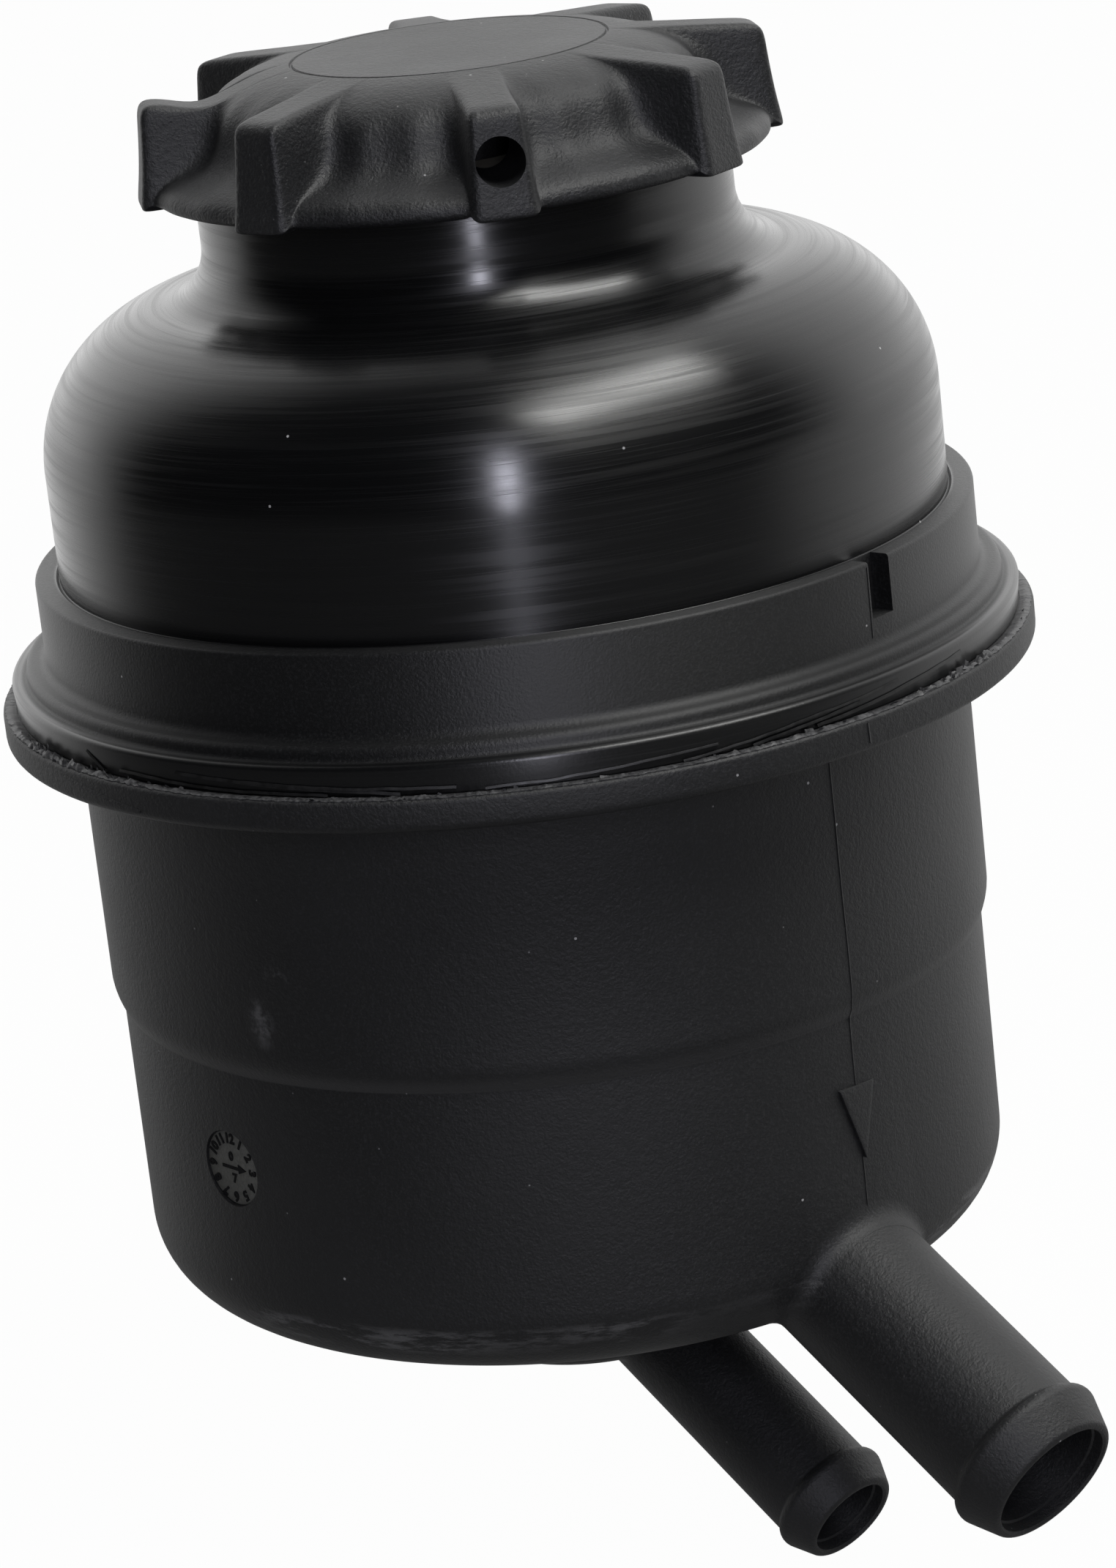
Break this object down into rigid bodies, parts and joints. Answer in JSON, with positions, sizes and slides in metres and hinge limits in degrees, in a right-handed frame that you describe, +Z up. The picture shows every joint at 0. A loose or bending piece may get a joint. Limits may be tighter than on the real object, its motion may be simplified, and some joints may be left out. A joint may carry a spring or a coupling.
{
  "type": "power steering reservoir",
  "caption": "Round black plastic oil reservoir with a welded rim, a winged screw cap with dipstick, slanted hose nipples below and a spring-held filter inside.",
  "frame": {"origin": "on the vessel's axis, in the plane of the weld rim's underside, where the clamp bracket takes hold", "axes": "+Z up along the vessel's axis towards the cap; -Y is the side the picture shows, with the nipples towards +X"},
  "size_m": [0.1052, 0.1112, 0.1535],
  "materials": {
    "cup_nylon": "fine-grained black glass-filled nylon",
    "shell_nylon": "glossy black nylon on the dome, fine grain on the band",
    "plate_nylon": "natural nylon",
    "grommet_rubber": "black rubber",
    "disc_steel": "zinc-plated sheet",
    "core_nylon": "natural nylon",
    "pleat_paper": "resin-treated filter paper",
    "spring_steel": "bright spring wire",
    "seal_rubber": "black rubber",
    "cap_nylon": "grained black nylon",
    "splash_nylon": "natural nylon",
    "stick_nylon": "black nylon"
  },
  "bodies": {
    "housing": {"lower_cup": "cup_nylon", "riser_boss": "cup_nylon", "suction_nipple": "cup_nylon", "return_nipple": "cup_nylon", "upper_shell": "shell_nylon", "baffle_plate": "plate_nylon", "filter_spring": "spring_steel"},
    "filter": {"filter_grommet": "grommet_rubber", "filter_bottom_disc": "disc_steel", "filter_core_tube": "core_nylon", "filter_pleats": "pleat_paper", "filter_top_disc": "disc_steel"},
    "cap_ring": {"cap_seal": "seal_rubber"},
    "cap": {"cap_body": "cap_nylon", "splash_disc": "splash_nylon", "dipstick": "stick_nylon"}
  },
  "joints": [
    {"name": "cap_lift", "type": "slide", "parent": "housing", "child": "cap_ring", "axis": [0, 0, 1], "range_m": [0, 0.01]},
    {"name": "cap_turn", "type": "hinge", "parent": "cap_ring", "child": "cap", "pos_m": [0, 0, 0.055], "axis": [0, 0, 1], "range_deg": [0, 900]},
    {"name": "filter_lift", "type": "slide", "parent": "housing", "child": "filter", "axis": [0, 0, 1], "range_m": [0, 0.0035], "stiffness_N_per_m": 1500, "springref_m": -0.004, "deforming": ["filter_spring"]}
  ],
  "couplings": [
    {"joint": "cap_lift", "follows": "cap_turn", "m_per_rad": 0.00063662}
  ]
}
